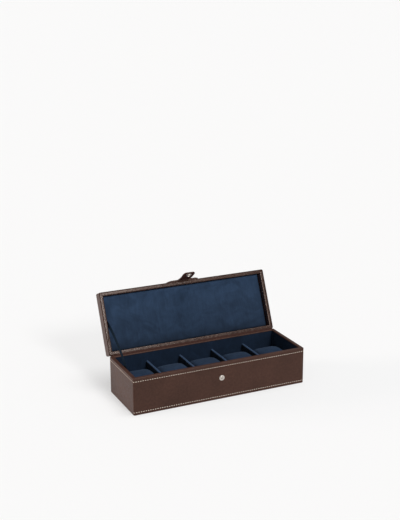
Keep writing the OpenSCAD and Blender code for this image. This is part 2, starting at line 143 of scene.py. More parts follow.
class CushionSizes(bpy.types.PropertyGroup):
    voxel: length("Voxel", "Grain of the cloth mesh", 0.004)
    pressure: FloatProperty(
        name="Pressure", description="How hard the filling pushes the suede out", default=4.0
    )
    swell: length("Swell", "The most that the suede may move", 0.005)
    frames: IntProperty(name="Frames", description="Steps of the cloth simulation", default=20)


class Colours(bpy.types.PropertyGroup):
    leather: colour("Leather", "Grained outer leather", (0.0500, 0.0212, 0.0147))
    edge: colour("Edge", "Cut edges and the flesh side of the leather", (0.035, 0.010, 0.006))
    suede: colour("Suede", "Suede of the linings", (0.0244, 0.0464, 0.0892))
    cushion: colour("Cushion suede", "Suede of the cushions", (0.0094, 0.0203, 0.0425))
    divider: colour("Divider suede", "Suede of the dividers", (0.028, 0.050, 0.095))
    thread: colour("Thread", "Waxed thread of the seams", (0.82, 0.71, 0.60))
    metal: colour("Metal", "Polished nickel", (0.68, 0.63, 0.58))
    ribbon: colour("Ribbon", "Woven stay", (0.004, 0.011, 0.021))
    board: colour("Board", "Fibreboard inside the walls", (0.30, 0.21, 0.12))
    floor: colour("Floor", "Studio floor", (0.39, 0.39, 0.39))


# ---- Materials ----


class Finish:
    """A material on Object coordinates, with short calls to add what it is made of."""

    def __init__(self, name, turned=None, **sockets):
        self.material = bpy.data.materials.new(name)
        self.material.use_nodes = True
        self.tree = self.material.node_tree
        self.shader = self.tree.nodes["Principled BSDF"]
        for socket, value in sockets.items():
            self.shader.inputs[socket.replace("_", " ")].default_value = value
        self.place = self.add("ShaderNodeTexCoord").outputs["Object"]
        if turned:
            turn = self.add("ShaderNodeMapping", {"Vector": self.place})
            turn.inputs["Location"].default_value = turned.translation
            turn.inputs["Rotation"].default_value = turned.to_euler()
            self.place = turn.outputs[0]

    def add(self, kind, inputs=None, **settings):
        node = self.tree.nodes.new(kind)
        for name, value in settings.items():
            setattr(node, name, value)
        for name, value in (inputs or {}).items():
            if isinstance(value, bpy.types.NodeSocket):
                self.tree.links.new(value, node.inputs[name])
            else:
                node.inputs[name].default_value = value
        return node

    def noise(self, scale, detail=2.0, rough=0.5, warp=0.0, place=None):
        inputs = {"Scale": scale, "Detail": detail, "Roughness": rough, "Distortion": warp}
        inputs["Vector"] = place or self.place
        return self.add("ShaderNodeTexNoise", inputs).outputs[0]

    def stretch(self, x, y, z):
        inputs = {"Vector": self.place, "Scale": (x, y, z)}
        return self.add("ShaderNodeMapping", inputs).outputs[0]

    def sums(self, operation, a, b):
        return self.add("ShaderNodeMath", {0: a, 1: b}, operation=operation).outputs[0]

    def spread(self, value, low, high, start=0.0, end=1.0):
        inputs = {0: value, 1: start, 2: end, 3: low, 4: high}
        return self.add("ShaderNodeMapRange", inputs).outputs[0]

    def ramp(self, value, *stops):
        made = self.add("ShaderNodeValToRGB", {"Fac": value})
        bar = made.color_ramp.elements
        while len(bar) < len(stops):
            bar.new(0.5)
        for element, (position, tint) in zip(bar, stops):
            element.position = position
            element.color = (*tint, 1)
        return made.outputs[0]

    def multiplied(self, a, b):
        settings = {"data_type": "RGBA", "blend_type": "MULTIPLY"}
        return self.add("ShaderNodeMix", {0: 1.0, 6: a, 7: b}, **settings).outputs[2]

    def bump(self, height, strength, distance, normal=None):
        inputs = {"Height": height, "Strength": strength, "Distance": distance}
        if normal:
            inputs["Normal"] = normal
        return self.add("ShaderNodeBump", inputs).outputs[0]

    def wear(self, **sockets):
        for name, value in sockets.items():
            self.tree.links.new(value, self.shader.inputs[name.replace("_", " ")])

    def patterned(self, tint, pattern, dark, light, rough, relief, gloss=None, grain=None):
        """Wears a pattern as tone, gloss and relief; gloss and relief may have their own."""
        tones = [(at, shade(tint, factor)) for at, factor in (dark, light)]
        self.wear(
            Base_Color=self.ramp(pattern, *tones),
            Roughness=self.spread(gloss or pattern, *rough),
            Normal=self.bump(grain or pattern, *relief),
        )


def shade(tint, factor):
    return tuple(min(1.0, channel * factor) for channel in tint)


def leather(name, tint, turned=None, gloss=0.42, crinkle=0.0, polish=0.28):
    """Grained calf leather: fine pebbles, soft clouds of colour, a dull polish."""
    dye = (1.0, 0.87, 0.79, 1.0)
    made = Finish(name, turned, Specular_IOR_Level=polish, Specular_Tint=dye)
    clouds = made.noise(16, 3, 0.55, 0.6)
    mottle = made.noise(240, 3, 0.6)
    tone = made.ramp(clouds, (0.3, shade(tint, 0.86)), (0.7, shade(tint, 1.16)))
    fleck = made.ramp(mottle, (0.35, (0.82, 0.80, 0.79)), (0.68, (1.12, 1.13, 1.14)))
    inputs = {"Vector": made.place, "Scale": 1150, "Smoothness": 0.6}
    pebble = made.add("ShaderNodeTexVoronoi", inputs, feature="SMOOTH_F1").outputs[0]
    pores = made.noise(3600, 2)
    height = made.sums("ADD", made.sums("MULTIPLY", pores, 0.35), pebble)
    soft = made.bump(clouds, 0.25, 0.0006)
    if crinkle:
        folds = made.noise(330, 3, 0.55, 1.2, made.stretch(0.8, 1.2, 1.0))
        soft = made.bump(folds, crinkle, 0.0011, soft)
    made.wear(
        Base_Color=made.multiplied(tone, fleck),
        Roughness=made.spread(mottle, gloss - 0.07, gloss + 0.1, 0.3, 0.7),
        Normal=made.bump(height, 0.35, 0.00016, soft),
    )


def suede(name, tint, turned=None, nap=26.0, contrast=0.32, painted_shade_to_hinge=False):
    """Brushed suede: the nap lies in blotches that catch the light in turn. When asked, the
    colour is also painted lighter towards the lid's free edge and darker towards its hinge, as
    painted light and shade.
    """
    sheen = {"Sheen_Weight": 0.06, "Sheen_Roughness": 0.5, "Sheen_Tint": (0.55, 0.72, 1.0, 1.0)}
    made = Finish(name, turned, Roughness=0.92, Specular_IOR_Level=0.12, **sheen)
    brushed = made.noise(nap, 5, 0.62, 1.4)
    strokes = made.noise(nap * 7, 3, 0.6, 0.3, made.stretch(1.7, 0.3, 0.3))
    blotch = made.sums("ADD", made.sums("MULTIPLY", strokes, 0.42), brushed)
    tones = ((0.0, shade(tint, 1 - contrast)), (0.5, tint), (1.0, shade(tint, 1 + contrast)))
    tone = made.ramp(made.spread(blotch, 0, 1, 0.45, 0.98), *tones)
    # Painted light and shade: the colour is lighter towards the lid's free edge and darker
    # towards the hinge.
    if painted_shade_to_hinge:
        across = made.add("ShaderNodeSeparateXYZ", {0: made.place}).outputs
        depth = made.spread(across[1], 0.0, 1.0, -HALF_D, HALF_D)
        shading_stops = ((0.06, 1.25), (0.22, 0.86), (0.5, 0.74), (0.78, 0.66), (0.92, 0.4))
        painted_light_and_shade = made.ramp(depth, *((at, (level,) * 3) for at, level in shading_stops))
        tone = made.multiplied(tone, painted_light_and_shade)
    fibre = made.noise(2600, 3, 0.7)
    speck = made.ramp(fibre, (0.3, (0.8, 0.8, 0.8)), (0.7, (1.2, 1.2, 1.2)))
    nap_bump = made.bump(blotch, 0.2, 0.0007)
    made.wear(
        Base_Color=made.multiplied(tone, speck),
        Normal=made.bump(fibre, 0.5, 0.00022, nap_bump),
    )


def flesh(name, tint, turned=None):
    """Flesh side and cut edges of leather: matt, fibrous and dark."""
    made = Finish(name, turned, Specular_IOR_Level=0.25)
    fibres = made.noise(900, 4, 0.65, 0.8)
    made.patterned(tint, fibres, (0.3, 0.75), (0.7, 1.3), (0.62, 0.82), (0.4, 0.0002))


def waxed_thread(name, tint):
    made = Finish(name, Specular_IOR_Level=0.3, Sheen_Weight=0.15)
    twist = made.noise(1900, 2, 0.5, 0.5)
    wax = made.noise(90, 2)
    made.patterned(
        tint, twist, (0.3, 0.72), (0.7, 1.12), (0.5, 0.72), (0.5, 0.0002), gloss=wax
    )


def nickel(name, tint):
    made = Finish(name, Metallic=1.0)
    smear = made.noise(220, 3)
    scratches = made.noise(1500, 2, 0.6, 0.0, made.stretch(1.0, 0.12, 1.0))
    made.patterned(
        tint, smear, (0.25, 0.86), (0.75, 1.0), (0.28, 0.42), (0.12, 0.00005), grain=scratches
    )


def grosgrain(name, tint):
    """Ribbed ribbon; its UV map runs along it, a rib for each whole number."""
    made = Finish(name, Specular_IOR_Level=0.02)
    along = made.add("ShaderNodeTexCoord").outputs["UV"]
    inputs = {"Vector": along, "Scale": 1.0, "Distortion": 0.3}
    ribs = made.add("ShaderNodeTexWave", inputs, bands_direction="X").outputs["Fac"]
    made.patterned(tint, ribs, (0.2, 0.65), (0.8, 1.25), (0.75, 0.6), (0.5, 0.0003))


def fibreboard(name, tint):
    made = Finish(name, Specular_IOR_Level=0.2)
    fibres = made.noise(420, 4, 0.7)
    made.patterned(tint, fibres, (0.3, 0.8), (0.7, 1.2), (0.75, 0.95), (0.3, 0.0003))


def palette():
    """The finishes, made once and then found by name."""
    if "Tray leather" in bpy.data.materials:
        return bpy.data.materials
    tints = bpy.context.scene.box_colours
    back = lid_turn().inverted()
    leather("Tray leather", tints.leather, polish=0.22)
    leather("Lid leather", tints.leather, back)
    leather("Rim leather", shade(tints.leather, 0.74), back, 0.22, 0.05, 0.5)
    # A lighter copy of the leather for the strip past the rim band's inner fold, as painted fill
    # light.
    leather("Turned leather, painted fill light", shade(tints.leather, 1.35), back, polish=0.15)
    leather("Tab leather", shade(tints.leather, 0.75), back)
    # The tray's lining is painted about a third as bright as the lid's suede, as painted shade
    # inside the tray.
    suede("Tray suede, painted shade", shade(tints.cushion, 0.82))
    # The lid's suede has painted light near its free edge and painted shade near its hinge.
    suede("Lid suede", tints.suede, back, painted_shade_to_hinge=True)
    suede("Cushion suede", tints.cushion, None, 34.0)
    suede("Divider suede", tints.divider, None, 40.0, 0.2)
    # The dividers' sides are a copy of their suede at 0.12, as painted shade.
    suede("Divider side, painted shade", shade(tints.divider, 0.12), None, 40.0, 0.2)
    flesh("Cut edge", tints.edge)
    flesh("Tab lining", shade(tints.edge, 1.3), back)
    # This finish also paints the press stud's hole dark, as shade.
    flesh("Base sheet and painted hole shade", shade(tints.edge, 0.8))
    waxed_thread("Waxed thread", tints.thread)
    nickel("Nickel", tints.metal)
    grosgrain("Stay ribbon", tints.ribbon)
    fibreboard("Fibreboard", tints.board)
    return bpy.data.materials


# ---- Shaping ----


def lid_turn():
    """Carries what is shaped on the closed box to the open lid."""
    angle = bpy.context.scene.box_case.lid_angle
    turn = Matrix.Rotation(-angle, 4, "X")
    return Matrix.Translation(HINGE) @ turn @ Matrix.Translation(-HINGE)


def lid_levels():
    """Heights on the closed lid: its rim, the underside of its top board, and its top."""
    size = bpy.context.scene.box_case
    rim = BODY_H + size.rim_gap
    top = rim + size.lid_height
    return rim, top - LEATHER - size.lid_board, top


def linked(name, data):
    thing = bpy.data.objects.new(name, data)
    bpy.context.scene.collection.objects.link(thing)
    return thing


def put(bm, name):
    """Makes an object of the shape and puts it in the scene."""
    mesh = bpy.data.meshes.new(name)
    bm.to_mesh(mesh)
    bm.free()
    return linked(name, mesh)


def finished(bm, name, body, finishes, nodes=(), sharp=38.0, turn=None):
    """Turns the shape to its place, makes the piece of it and hangs it on its body."""
    if turn:
        bmesh.ops.transform(bm, matrix=turn, verts=bm.verts)
    for face in bm.faces:
        face.smooth = True
    piece = put(bm, name)
    piece.data.set_sharp_from_angle(angle=math.radians(sharp))
    for finish in finishes:
        piece.data.materials.append(palette()[finish])
    if body:
        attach(piece, body)
    if nodes:
        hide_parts(*nodes)
    return piece


def dress(nodes, finish):
    """Gives CAD nodes that keep their shape a finish."""
    for name in nodes:
        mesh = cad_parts[name].data
        mesh.materials.clear()
        mesh.materials.append(palette()[finish])


def rounded(x, y, radius, start, end, steps=5):
    """Points of an arc about (x, y), angles in degrees."""
    for i in range(steps + 1):
        angle = math.radians(start + (end - start) * i / steps)
        yield x + radius * math.cos(angle), y + radius * math.sin(angle)


def rolled(*arc):
    """An arc of a leather's outline, in the first of the piece's finishes."""
    return [(depth, height, 0) for depth, height in rounded(*arc)]


def grid(across, along, size=1.0):
    bm = bmesh.new()
    bmesh.ops.create_grid(bm, x_segments=across, y_segments=along, size=size)
    return bm


def block(half, centre):
    bm = bmesh.new()
    bmesh.ops.create_cube(bm, size=2.0)
    bmesh.ops.scale(bm, vec=half, verts=bm.verts)
    bmesh.ops.translate(bm, vec=centre, verts=bm.verts)
    return bm


def only(kind, geom):
    """The vertices, edges or faces among what an operator made."""
    return [g for g in geom if isinstance(g, kind)]


def bevelled(bm, geom, offset, segments, affect="EDGES"):
    bmesh.ops.bevel(
        bm, geom=geom, affect=affect, offset=offset, segments=segments, profile=0.5, material=-1
    )


def outwards(bm):
    bmesh.ops.recalc_face_normals(bm, faces=bm.faces)


def carried_round(outline, corner, capped=False):
    """Carries an outline of (depth, height, finish) round the case, with rounded corners.
    Depth is measured inwards from the outer faces. A capped outline gets a face over each
    end; the others close on themselves."""
    tightest = 0.0003
    bm = grid(1, 1)
    bmesh.ops.scale(bm, vec=(HALF_W, HALF_D, 1), verts=bm.verts)
    bevelled(bm, bm.verts[:], corner, 8, "VERTICES")
    bmesh.ops.delete(bm, geom=bm.faces[:], context="FACES_ONLY")
    way = bm.verts.layers.float_vector.new("way")

    def centre(v, back, height):
        x, y = math.copysign(HALF_W - back, v.co.x), math.copysign(HALF_D - back, v.co.y)
        return Vector((x, y, height))

    def place(verts, depth, height):
        radius = max(corner - depth, tightest)
        for v in verts:
            v.co = centre(v, depth + radius, height) + v[way] * radius

    for v in bm.verts:
        v[way] = (v.co - centre(v, corner, 0)).normalized()
    ring = bm.edges[:]
    place(bm.verts, *outline[0][:2])
    if capped:
        bmesh.ops.contextual_create(bm, geom=ring)
    for depth, height, finish in outline[1:]:
        made = bmesh.ops.extrude_edge_only(bm, edges=ring)["geom"]
        ring = only(EDGE, made)
        place(only(VERT, made), depth, height)
        for face in only(FACE, made):
            face.material_index = finish
    if capped:
        bmesh.ops.contextual_create(bm, geom=ring)
    bmesh.ops.remove_doubles(bm, verts=bm.verts, dist=1e-6)
    outwards(bm)
    return bm


def cut(bm, point, normal, faces=None):
    """Cuts the faces along a plane and gives the vertices that lie on it."""
    faces = bm.faces[:] if faces is None else faces
    edges = {e for f in faces for e in f.edges}
    verts = {v for f in faces for v in f.verts}
    geom = [*verts, *edges, *faces]
    bmesh.ops.bisect_plane(bm, geom=geom, dist=1e-7, plane_co=point, plane_no=normal)
    return [v for v in bm.verts if abs((v.co - Vector(point)).dot(normal)) < 2e-7]


def brace(bm, inset):
    """Cuts beside the corners, so that the large faces shade flat."""
    for side in (-1, 1):
        cut(bm, (side * (HALF_W - inset), 0, 0), X)
        cut(bm, (0, side * (HALF_D - inset), 0), Y)


def mitre(bm, height, sink, upward):
    """Presses a fine joint across each corner of a rim."""
    half_joint, reach, skin = 0.00032, 0.016, 0.0006
    for sx in (-1, 1):
        for sy in (-1, 1):
            across = Vector((sy, -sx, 0)).normalized()
            corner = Vector((sx * HALF_W, sy * HALF_D, height))
            for offset in (-half_joint, half_joint, 0.0):
                near = [f for f in bm.faces if f.normal.z * upward > 0.3]
                near = [f for f in near if (f.calc_center_median() - corner).length < reach]
                line = cut(bm, corner + across * offset, across, near)
            for v in line:
                if (v.co - corner).length < reach and abs(v.co.z - height) < skin:
                    v.co.z -= sink * upward


# ---- Seams ----


class Seam:
    """Rows of slanting stitches in one mesh."""

    def __init__(self):
        self.sizes = bpy.context.scene.box_seams
        self.bm = bmesh.new()
        self.random = random.Random(self.sizes.seed)

    def row(self, start, end, outward, scale=1.0):
        """Stitches from one point to another on a face that looks outward."""
        start, end, outward = Vector(start), Vector(end), Vector(outward)
        run = end - start
        along = run.normalized()
        count = max(1, round(run.length / (self.sizes.pitch * scale)))
        for i in range(count):
            lean = self.sizes.slant * self.random.uniform(0.7, 1.3)
            turn = Quaternion(outward, lean)
            across = turn @ outward.cross(along)
            axes = Matrix((outward, across, turn @ along)).transposed().to_4x4()
            half = self.sizes.stitch * scale / 2 * self.random.uniform(0.94, 1.04)
            thick = self.sizes.thread * scale / 2
            size = Matrix.Diagonal((thick * 0.85, thick, half, 1))
            middle = start + run * ((i + 0.5) / count)
            place = Matrix.Translation(middle) @ axes @ size
            bmesh.ops.create_uvsphere(
                self.bm, u_segments=7, v_segments=6, radius=1, matrix=place
            )

    def finish(self, name, body, turn=None):
        finished(self.bm, name, body, ["Waxed thread"], sharp=180, turn=turn)


# ---- Operators ----


class BOX_OT_case(bpy.types.Operator):
    """Leather of the tray: walls, folded rims, corner joints and pressed seam lines"""

    bl_idname = "box.case"
    bl_label = "Tray leather"

    def execute(self, context):
        size, seams = context.scene.box_case, context.scene.box_seams
        fold, row = size.fold, BODY_H - seams.below_rim
        half_line = ((0.0006, 0.75), (0.0013, 0), (0.0021, 0))
        pressed = [*((-offset, share) for offset, share in half_line[::-1]), (0, 1), *half_line]
        outline = [
            *((0.0004, 0.0, 0), (0.0001, 0.0001, 0), (0.0, 0.0005, 0), (0.0, 0.0012, 0)),
            *((size.groove * share, row + offset, 0) for offset, share in pressed),
            (0.0, BODY_H - fold - EASE, 0),
            *rolled(fold, BODY_H - fold, fold, 180, 90),
            (fold + EASE, BODY_H, 0),
            (RIM - fold - EASE, BODY_H, 0),
            *rolled(RIM - fold, BODY_H - fold, fold, 90, 0),
            (RIM, TURN_Z, 0),
            (RIM - LEATHER, TURN_Z, 1),
            (RIM - LEATHER, BODY_H - LEATHER, 1),
            (LEATHER, BODY_H - LEATHER, 1),
            (LEATHER, 0.0, 1),
            (0.0004, 0.0, 1),
        ]
        bm = carried_round(outline, size.corner)
        brace(bm, size.corner + BESIDE_CORNER)
        brace(bm, BESIDE_JOINT)
        mitre(bm, BODY_H, size.mitre, 1)
        self.press_lower_line(bm, size, seams.above_base)
        finishes = ["Tray leather", "Cut edge"]
        covers = ["front_cover", "back_cover", "left_cover", "right_cover", "back_rim"]
        finished(bm, "case_leather", "tray", finishes, covers)
        return {"FINISHED"}

    def press_lower_line(self, bm, size, height):
        """The line that the front's lower seam lies in, cut before it is pressed."""
        for offset in (-0.0012, -0.0005, 0.0005, 0.0012, 0.0):
            front = [f for f in bm.faces if f.normal.y < -0.99]
            front = [f for f in front if f.calc_center_median().y < -HALF_D + 0.0001]
            line = cut(bm, (0, 0, height + offset), Z, front)
            if abs(offset) < 0.001:
                for v in line:
                    if v.co.y < -HALF_D + 0.0003 and abs(v.co.x) < HALF_W - size.corner:
                        v.co.y = -HALF_D + size.groove * (0.7 if offset else 1.0)


class BOX_OT_lid(bpy.types.Operator):
    """Leather of the lid: the shell over its boards and the band round its rim"""

    bl_idname = "box.lid"
    bl_label = "Lid leather"

    def execute(self, context):
        size = context.scene.box_case
        base, under, top = lid_levels()
        fold, roll, middle = size.fold, 0.0013, 0.03
        pressed = [(0.0046, 0), (0.0054, 0.75), (0.006, 1), (0.0066, 0.75), (0.0074, 0)]
        shell = [
            (middle, top - LEATHER, 1),
            (LEATHER, top - LEATHER, 1),
            (LEATHER - 0.0001, base + 0.0008, 1),
            (LEATHER - 0.0002, base + 0.0003, 1),
            (LEATHER * 0.5, base, 1),
            (0.0002, base + 0.0002, 1),
            (0.0, base + 0.0007, 0),
            (0.0, base + 0.0015, 0),
            (0.0, top - roll - 0.001, 0),
            *rolled(roll, top - roll, roll, 180, 90),
            (roll + 0.001, top, 0),
            *((depth, top - size.groove * share, 0) for depth, share in pressed),
            (0.0084, top, 0),
            (middle, top, 0),
        ]
        bm = carried_round(shell, size.corner, capped=True)
        brace(bm, size.corner + BESIDE_CORNER)
        sides = ("top", "front", "back", "left", "right")
        covers = [f"lid_{side}_cover" for side in sides]
        finishes = ["Lid leather", "Cut edge"]
        finished(bm, "lid_shell", "lid", finishes, covers, turn=lid_turn())
        start, soft = LEATHER + 0.0001, 0.0007
        inner = base + soft + 0.0003
        band = [
            (start, inner, 1),
            *rolled(start + soft, base + soft, soft, 180, 270, 4),
            (start + soft + 0.0006, base, 0),
            (RIM - fold - EASE, base, 0),
            *rolled(RIM - fold, base + fold, fold, 270, 360),
            # This strip takes the lighter turned leather, which is painted fill light.
            (RIM, base + fold + EASE, 2),
            (RIM, under, 0),
            (RIM - LEATHER, under, 1),
            (RIM - LEATHER, inner, 1),
            (start, inner, 1),
        ]
        bm = carried_round(band, size.corner)
        brace(bm, BESIDE_JOINT)
        mitre(bm, base, size.mitre, -1)
        rims = [f"lid_{side}_rim" for side in sides[1:]]
        finishes = ["Rim leather", "Cut edge", "Turned leather, painted fill light"]
        finished(bm, "lid_rim_band", "lid", finishes, rims, turn=lid_turn())
        return {"FINISHED"}


class BOX_OT_linings(bpy.types.Operator):
    """Suede: the padded panel in the lid, and the finish of linings and dividers"""

    bl_idname = "box.linings"
    bl_label = "Suede linings"

    def execute(self, context):
        self.lid_panel(context.scene.box_case)
        sides = ("floor", "front", "back", "left", "right")
        # The tray's linings take the darker suede, which is painted shade.
        dress([f"{side}_lining" for side in sides], "Tray suede, painted shade")
        for i in range(1, 5):
            self.divider(i)
        return {"FINISHED"}

    def lid_panel(self, size):
        """A padded panel: rolled over at its edges, fullest in the middle, not quite flat."""
        under = lid_levels()[1]
        face = under - size.pad
        inset = RIM + 0.0002
        half_w, half_d = HALF_W - inset, HALF_D - inset
        roll, thinner, ripples, wave, margin = 0.0024, 0.0005, 0.00022, 22, 0.03
        bm = grid(72, 36)
        for v in bm.verts:
            x = half_w * math.sin(v.co.x * math.pi / 2)
            y = half_d * math.sin(v.co.y * math.pi / 2)
            in_x, in_y = half_w - abs(x), half_d - abs(y)
            drop = 0.0
            for edge in (in_x, in_y):
                if edge < roll:
                    drop += roll - math.sqrt(max(0.0, roll**2 - (roll - edge) ** 2))
            drop = min(drop, size.pad - 0.0002)
            crown = thinner * (1 - min(1.0, in_x / margin, in_y / margin)) ** 2
            ripple = ripples * noise.noise(Vector((x, y, 0)) * wave)
            v.co = Vector((x, y, face + drop + crown + ripple))
        rim = [e for e in bm.edges if e.is_boundary]
        made = bmesh.ops.extrude_edge_only(bm, edges=rim)["geom"]
        for v in only(VERT, made):
            v.co.z = under
        bmesh.ops.contextual_create(bm, geom=only(EDGE, made))
        outwards(bm)
        pad = finished(
            bm, "lid_pad", "lid", ["Lid suede"], ["lid_lining"], turn=lid_turn()
        )

    def divider(self, number):
        """A card covered in suede, which is rolled over its top and uneven along it."""
        low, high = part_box(f"divider_{number}")
        half = (high - low) / 2
        cuts, uneven = 24, 0.0003
        bm = block(half, (low + high) / 2)
        top = [e for e in bm.edges if all(v.co.z > high.z - 1e-5 for v in e.verts)]
        top = [e for e in top if abs(e.verts[0].co.y - e.verts[1].co.y) > half.y]
        bevelled(bm, top, half.x * 0.9, 6)
        for i in range(1, cuts):
            cut(bm, (0, low.y + 2 * half.y * i / cuts, 0), Y)
        for v in bm.verts:
            if v.co.z > high.z - half.x:
                sway = noise.noise(Vector((number * 3, v.co.y * 40, 0)))
                v.co.z -= uneven + uneven * sway
        # Faces that do not look up take the darker copy of the suede, as painted shade.
        for face in bm.faces:
            face.material_index = 0 if face.normal.z > 0.25 else 1
        name, finishes = f"divider_cover_{number}", ["Divider suede", "Divider side, painted shade"]
        finished(
            bm, name, "tray", finishes, [f"divider_{number}"], sharp=60
        )


class BOX_OT_cushions(bpy.types.Operator):
    """Five stuffed suede cushions, inflated as cloth, with a seam round each end"""

    bl_idname = "box.cushions"
    bl_label = "Cushions"

    def execute(self, context):
        for i in range(1, 6):
            self.make(context, i)
        return {"FINISHED"}

    def make(self, context, number):
        sizes = context.scene.box_cushions
        low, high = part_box(f"cushion_{number}")
        centre, half = (low + high) / 2, (high - low) / 2
        unfilled = (0.975, 0.955, 0.94)
        bm = bmesh.new()
        bm.from_mesh(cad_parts[f"cushion_{number}"].data)
        bmesh.ops.remove_doubles(bm, verts=bm.verts, dist=1e-6)
        bmesh.ops.translate(bm, vec=-centre, verts=bm.verts)
        bmesh.ops.scale(bm, vec=unfilled, verts=bm.verts)
        bmesh.ops.translate(bm, vec=centre, verts=bm.verts)
        core = put(bm, "cushion core")
        remesh = core.modifiers.new("Even mesh", "REMESH")
        remesh.mode = "VOXEL"
        remesh.voxel_size = sizes.voxel
        self.settle(context, core)
        self.inflate(context, core, sizes, half, centre)
        bm = bmesh.new()
        bm.from_mesh(core.data)
        bpy.data.objects.remove(core)
        bmesh.ops.smooth_vert(
            bm, verts=bm.verts, factor=0.4, use_axis_x=True, use_axis_y=True, use_axis_z=True
        )
        outwards(bm)
        name, body, node = (f"cushion_{part}{number}" for part in ("cover_", "body_", ""))
        piece = finished(bm, name, body, ["Cushion suede"], [node], sharp=180)
        fine = piece.modifiers.new("Fine", "SUBSURF")
        fine.levels = fine.render_levels = 1

    def settle(self, context, core):
        """Makes the shape that the modifiers give the core's own."""
        graph = context.evaluated_depsgraph_get()
        mesh = bpy.data.meshes.new_from_object(core.evaluated_get(graph))
        core.modifiers.clear()
        core.data = mesh

    def inflate(self, context, core, sizes, half, centre):
        """Cloth with pressure, its end seams held, its travel and its base capped."""
        start = [v.co.copy() for v in core.data.vertices]
        seam = core.vertex_groups.new(name="seam")
        seam_from, seam_to, hold = 0.80, 0.88, 0.8
        for v in core.data.vertices:
            if seam_from < abs(v.co.x - centre.x) / half.x < seam_to:
                seam.add([v.index], hold, "REPLACE")
        cloth = core.modifiers.new("Stuffing", "CLOTH")
        settings = cloth.settings
        settings.use_pressure = True
        settings.uniform_pressure_force = sizes.pressure
        settings.effector_weights.gravity = 0
        settings.vertex_group_mass = "seam"
        settings.quality = 5
        settings.tension_stiffness = settings.compression_stiffness = 12
        settings.bending_stiffness = 0.4
        cloth.point_cache.frame_start = 1
        cloth.point_cache.frame_end = sizes.frames
        for step in range(1, sizes.frames + 1):
            context.scene.frame_set(step)
        self.settle(context, core)
        context.scene.frame_set(1)
        low, high, skin = centre - half, centre + half, 0.0002
        for v, rest in zip(core.data.vertices, start):
            move = v.co - rest
            if move.length > sizes.swell:
                move *= sizes.swell / move.length
            v.co = rest + move
            v.co.x = min(max(v.co.x, low.x + skin), high.x - skin)
            v.co.z = max(v.co.z, low.z + skin)


def hinge_spot(angle, radius, leaf, s, x):
    """A point of a strip that lies on the back wall, bends round the hinge line and runs
    on along the lid, at a length s from its lower edge."""
    bend = radius * angle
    if s < leaf:
        y, z = -radius, s - leaf
    elif s < leaf + bend:
        turn = math.pi - (s - leaf) / radius
        y, z = math.cos(turn) * radius, math.sin(turn) * radius
    else:
        run = s - leaf - bend
        y = -math.cos(angle) * radius + math.sin(angle) * run
        z = math.sin(angle) * radius + math.cos(angle) * run
    return HINGE + Vector((x, y, z))


class BOX_OT_flexible(bpy.types.Operator):
    """Leather hinge and ribbon stay, which bend between the tray and the lid"""

    bl_idname = "box.flexible"
    bl_label = "Hinge and stay"

    def execute(self, context):
        size = context.scene.box_case
        self.hinge(size)
        self.crease(size)
        self.stay(size)
        return {"FINISHED"}

    def bent(self, size, rows, half_w, thick, radius, leaf, spare=0.0):
        """A strip with a leaf on the tray, a bend round the hinge line, a leaf on the lid."""
        total = leaf + radius * size.lid_angle + spare + leaf
        bm = grid(24, rows)
        for v in bm.verts:
            s = (v.co.y + 1) / 2 * total
            v.co = hinge_spot(size.lid_angle, radius, leaf, s, v.co.x * half_w)
        bmesh.ops.solidify(bm, geom=bm.faces[:], thickness=thick)
        return bm

    def hang(self, bm, shift, name, radius, nodes=()):
        """Moves the thickened strip back onto its middle and makes the piece of it."""
        bmesh.ops.translate(bm, vec=(0, shift, 0), verts=bm.verts)
        outwards(bm)
        piece = finished(bm, name, None, ["Cut edge"], nodes)
        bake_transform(piece)

    def crease(self, size):
        """The covering leather runs on from the tray to the lid, creased on the hinge line."""
        thick, leaf, short = 0.0008, 0.0014, 0.0026
        radius = thick / 2
        bm = self.bent(size, 24, HALF_W - short, thick, radius, leaf)
        on_tray = [v.co.y for v in bm.verts if v.co.z < BODY_H - 0.001]
        shift = HALF_D - radius - sum(on_tray) / len(on_tray)
        self.hang(bm, shift, "hinge_crease", radius)

    def hinge(self, size):
        low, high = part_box("hinge_leather")
        thick, glue = 0.001, 0.00003
        radius = LEATHER + glue + thick / 2
        bm = self.bent(size, 64, high.x, thick, radius, BODY_H - low.z, size.rim_gap)
        ys = [v.co.y for v in bm.verts]
        shift = (low.y + high.y) / 2 - (min(ys) + max(ys)) / 2
        self.hang(bm, shift, "hinge_strip", radius, ["hinge_leather"])

    def stay(self, size):
        """A ribbed ribbon bowed in an arc from the tray's lining to the lid's."""
        low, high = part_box("ribbon_stay")
        middle_x = (low.x + high.x) / 2
        cosine, sine = math.cos(size.lid_angle), math.sin(size.lid_angle)
        up_lid, inward = 0.062, 0.0004 + RIM - LEATHER
        tray_end = Vector((HALF_D - 0.069, BODY_H - 0.012))
        lid_end = Vector(
            (HALF_D - up_lid * cosine + inward * sine, BODY_H + up_lid * sine + inward * cosine)
        )
        width, thick, rib, bow = 0.010, 0.0005, 0.0009, 0.010
        chord = lid_end - tray_end
        half = chord.length / 2
        along, across = chord.normalized(), Vector((-chord.y, chord.x)).normalized()
        radius = chord.length**2 / (8 * bow) + bow / 2
        bm = grid(64, 6)
        uv = bm.loops.layers.uv.verify()
        for face in bm.faces:
            for loop in face.loops:
                run = (loop.vert.co.x + 1) / 2
                loop[uv].uv = run * chord.length / rib / math.tau, loop.vert.co.y
        for v in bm.verts:
            t, w = v.co.x, v.co.y
            run = (t + 1) / 2
            sag = math.sqrt(radius**2 - (t * half) ** 2) - (radius - bow)
            slope = math.asin(t * half / radius)
            side = across * math.cos(slope) + along * math.sin(slope)
            spot = tray_end + chord * run + across * sag + side * (w * width / 2)
            belly = math.sin(math.pi * run)
            sway = 0.0007 * belly * math.sin(2.2 * math.pi * run + 0.5)
            v.co = Vector((middle_x + 0.0002 + sway + 0.0008 * belly, *spot))
        bmesh.ops.solidify(bm, geom=bm.faces[:], thickness=thick)
        outwards(bm)
        piece = finished(bm, "stay_ribbon", None, ["Stay ribbon"], ["ribbon_stay"])
        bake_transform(piece)


